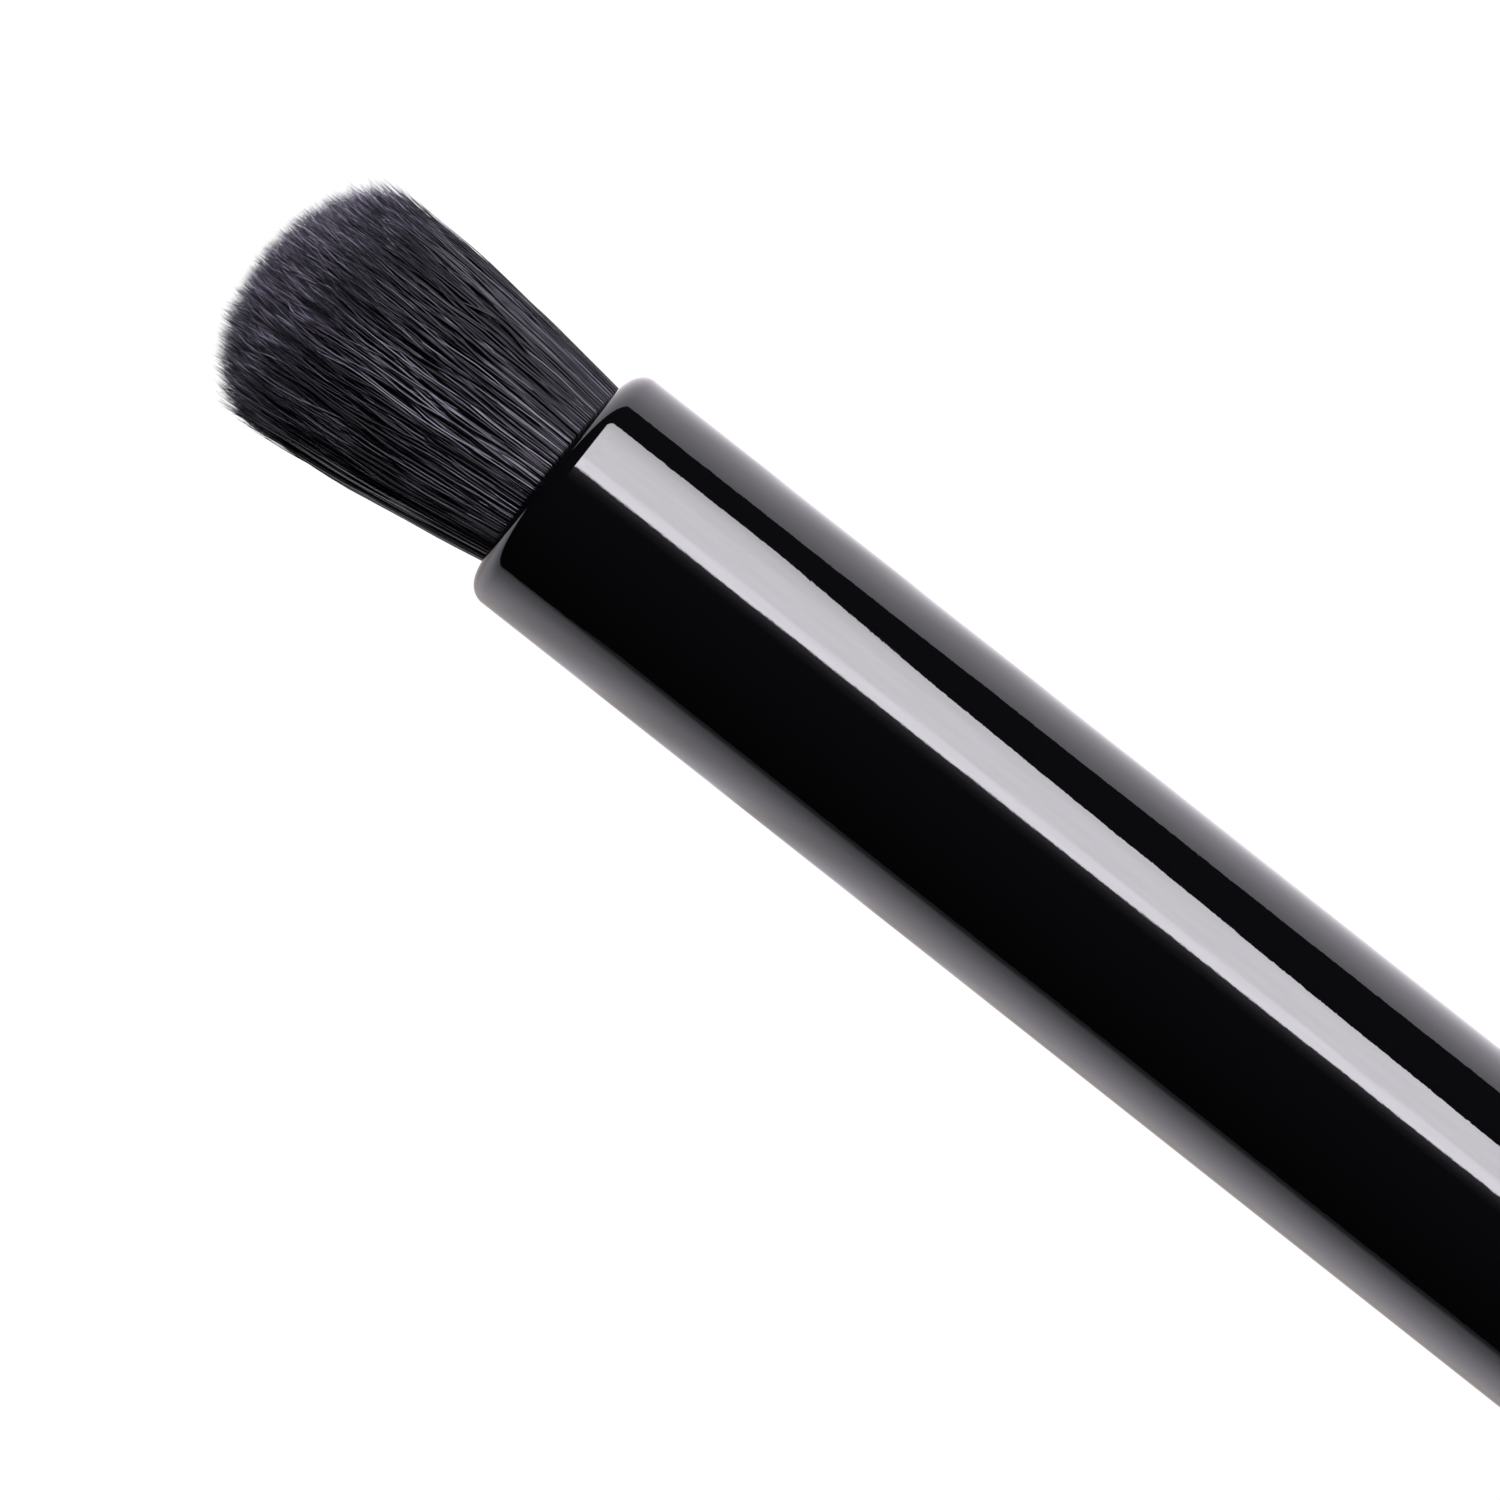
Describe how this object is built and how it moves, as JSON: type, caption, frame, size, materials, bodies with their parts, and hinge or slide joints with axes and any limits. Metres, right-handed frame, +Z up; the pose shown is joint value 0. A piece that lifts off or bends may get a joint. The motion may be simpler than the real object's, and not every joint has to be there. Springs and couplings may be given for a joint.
{
  "type": "eyebrow brush",
  "caption": "Pen-shaped eyebrow brush: a dense domed tuft of soft black filaments set straight into a gloss black barrel with a rounded lip and a flat tail.",
  "frame": {"origin": "on the surface the brush lies on, under the middle of its overall length", "axes": "+X along the brush from the tuft's tip to the tail, +Z up, +Y to the left when looking along +X"},
  "size_m": [0.14, 0.0102, 0.01],
  "materials": {
    "barrel_lacquer": "black ABS under clear piano lacquer",
    "drawn_aluminium": "drawn, as made",
    "black_filament": "fine tapered synthetic filament, soft sheen",
    "cotton_thread": "plain twisted thread",
    "amber_epoxy": "set resin",
    "natural_plastic": "unpigmented polypropylene",
    "plain_steel": "cut bar, plain"
  },
  "bodies": {
    "root": {"barrel": "barrel_lacquer", "tail_plug": "barrel_lacquer", "tuft_cup": "drawn_aluminium", "bristle_tuft": "black_filament", "binding_thread": "cotton_thread", "root_glue": "amber_epoxy", "liner": "natural_plastic", "balance_weight": "plain_steel"}
  },
  "joints": []
}
